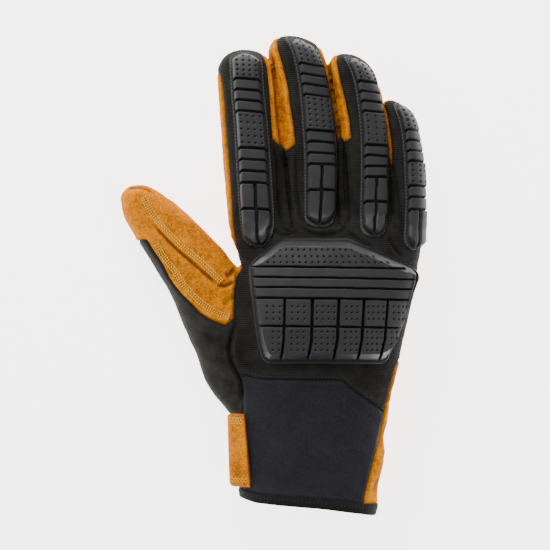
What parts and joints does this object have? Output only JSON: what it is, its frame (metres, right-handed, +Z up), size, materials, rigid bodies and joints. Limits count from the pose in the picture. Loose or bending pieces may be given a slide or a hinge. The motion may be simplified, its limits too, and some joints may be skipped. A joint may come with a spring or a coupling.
{
  "type": "impact glove",
  "caption": "Right-hand work glove lying palm down, with a leather palm, knit back, neoprene wrist and moulded rubber guards on the knuckles and fingers.",
  "frame": {"origin": "middle of the flat palm that the glove rests on, below the centre of the knuckle guard", "axes": "+Z up through the back of the hand, +Y towards the fingertips, -X towards the thumb"},
  "size_m": [0.1644, 0.2629, 0.0452],
  "materials": {
    "knit": "black stretch knit with fine crosswise ribs",
    "suede": "tan suede-like leather, matt, with soft wrinkles",
    "neoprene": "bluish black neoprene with a fine jersey face",
    "binding": "black woven binding tape",
    "guard_rubber": "dark grey moulded rubber, satin",
    "thread": "pale yellow sewing thread"
  },
  "bodies": {
    "root": {"back_panel": "knit", "palm_panel": "suede", "thumb_leather": "suede", "thumb_gusset": "knit", "cuff": "neoprene", "hem_binding": "binding", "pull_tab": "suede", "knuckle_guard": "guard_rubber", "finger_leather_index": "suede", "finger_back_index": "knit", "finger_leather_middle": "suede", "finger_back_middle": "knit", "finger_leather_ring": "suede", "finger_back_ring": "knit", "finger_leather_little": "suede", "finger_back_little": "knit", "finger_guard_index": "guard_rubber", "finger_guard_middle": "guard_rubber", "finger_guard_ring": "guard_rubber", "finger_guard_little": "guard_rubber", "welt_index_middle": "knit", "welt_middle_ring": "knit"}
  },
  "joints": []
}
